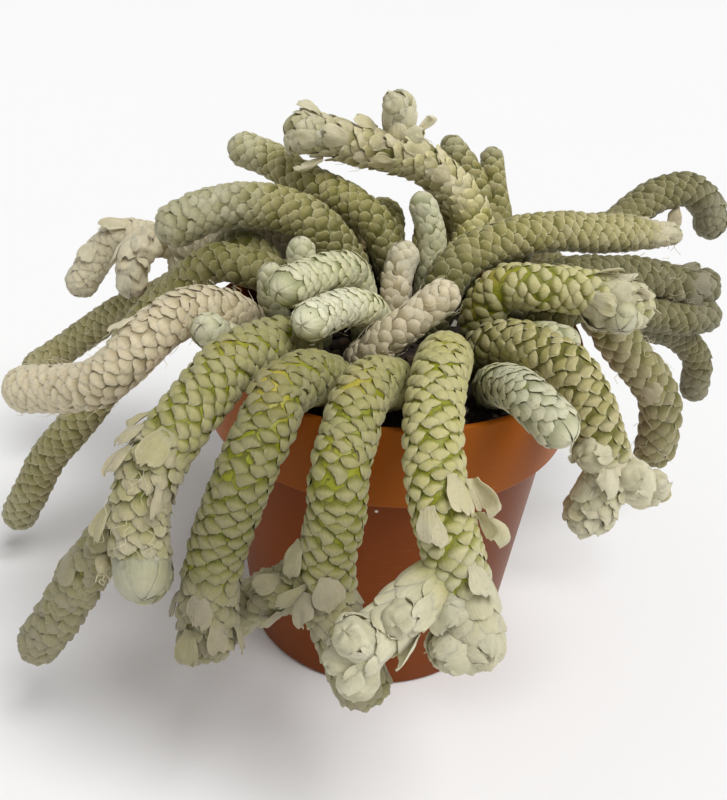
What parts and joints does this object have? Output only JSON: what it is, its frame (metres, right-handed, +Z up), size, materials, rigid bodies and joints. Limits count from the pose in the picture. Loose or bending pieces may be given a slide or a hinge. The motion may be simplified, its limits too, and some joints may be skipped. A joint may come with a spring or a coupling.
{
  "type": "potted avonia",
  "caption": "Small succulent in a round tapered nursery pot: finger-thick stems covered in overlapping papery scales spill over the rim all round.",
  "frame": {"origin": "centre of the pot's flat underside, on the surface that it stands on", "axes": "+Z up along the pot's axis, -Y towards the front, where the longest stems hang over the rim, and +X to the right"},
  "size_m": [0.1468, 0.1278, 0.0931],
  "materials": {
    "pot_plastic": "satin terracotta-brown plastic with a thin bright lip",
    "soil": "dark crumbly potting mix",
    "scales_yellow_green": "pale papery scales over bright yellow-green flesh",
    "scales_grey_green": "dull grey-green papery scales",
    "scales_mint": "pale mint-white papery scales with fine dark specks",
    "scales_beige": "dry beige papery scales"
  },
  "bodies": {
    "root": {"pot": "pot_plastic", "soil": "soil", "stem_front_1": "scales_yellow_green", "stem_front_2": "scales_yellow_green", "stem_front_3": "scales_yellow_green", "stem_front_4": "scales_yellow_green", "stem_left_1": "scales_beige", "stem_left_2": "scales_grey_green", "stem_left_3": "scales_grey_green", "stem_left_4": "scales_beige", "stem_left_5": "scales_grey_green", "stem_left_6": "scales_grey_green", "stem_top_1": "scales_grey_green", "stem_top_2": "scales_grey_green", "stem_right_1": "scales_grey_green", "stem_right_2": "scales_grey_green", "stem_right_3": "scales_yellow_green", "stem_right_4": "scales_grey_green", "stem_right_5": "scales_grey_green", "stem_right_6": "scales_mint", "stem_back_1": "scales_grey_green", "stem_back_2": "scales_grey_green", "stem_back_3": "scales_grey_green", "shoot_1": "scales_mint", "shoot_2": "scales_mint", "shoot_3": "scales_beige", "shoot_4": "scales_beige", "shoot_5": "scales_mint", "shoot_6": "scales_mint", "shoot_7": "scales_mint", "shoot_8": "scales_mint", "shoot_9": "scales_mint"}
  },
  "joints": []
}
